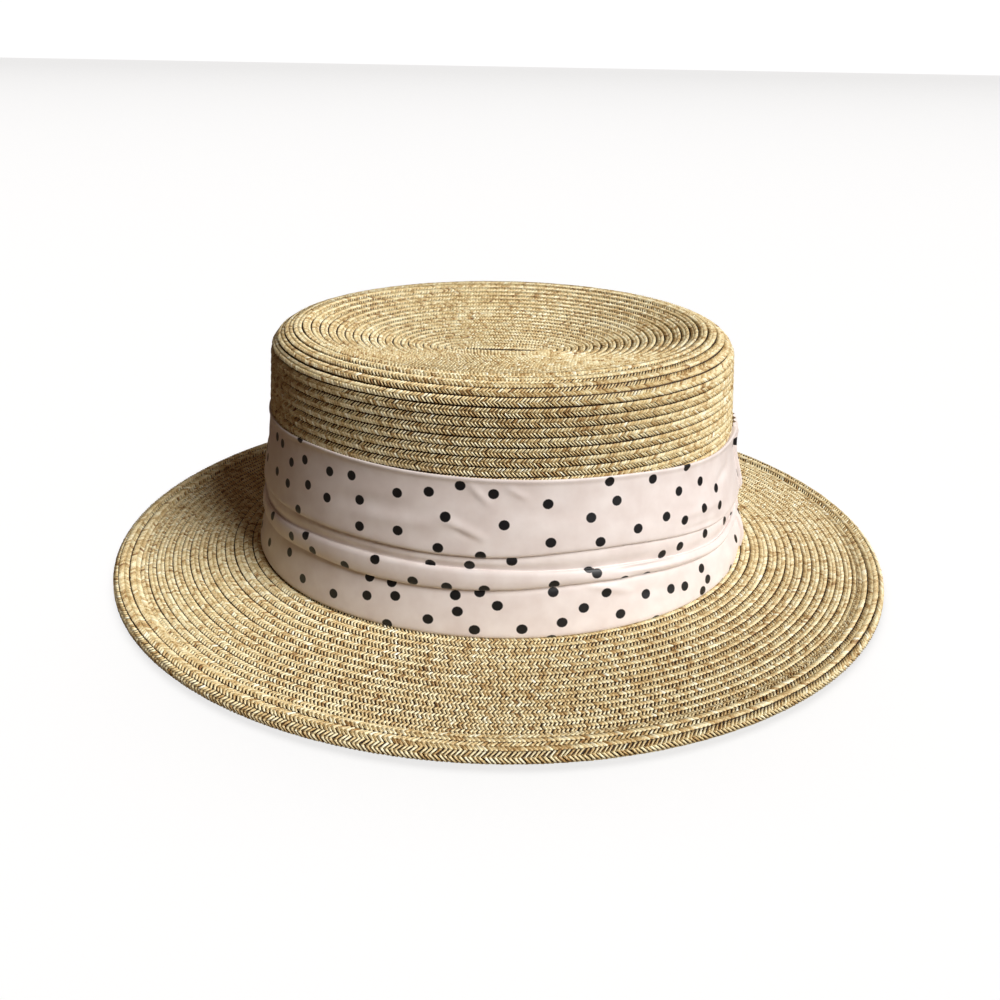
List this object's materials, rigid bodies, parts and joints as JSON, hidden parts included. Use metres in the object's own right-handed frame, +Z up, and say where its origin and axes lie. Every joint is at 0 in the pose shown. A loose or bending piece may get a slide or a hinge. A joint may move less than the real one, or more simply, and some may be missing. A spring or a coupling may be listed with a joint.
{
  "type": "straw boater hat with a pleated scarf band",
  "caption": "Straw hat with a flat oval crown, a dished top, a wide level brim and a pleated scarf band.",
  "frame": {"origin": "on the surface the hat rests on, under the middle of its box", "axes": "+X along the head from front to back, towards the scarf's join; +Y across the head; +Z up out of the crown"},
  "size_m": [0.3188, 0.2888, 0.0966],
  "materials": {
    "straw": "sewn rows of plaited paper straw, golden tan with cream and brown strands, matt",
    "edge_straw": "doubled edge row of plaited paper straw, golden tan, matt",
    "scarf": "blush pink satin with a scatter of small navy dots, soft sheen"
  },
  "bodies": {
    "root": {"crown": "straw", "brim": "straw", "edge_braid": "edge_straw", "scarf_band": "scarf", "scarf_join": "scarf"}
  },
  "joints": []
}
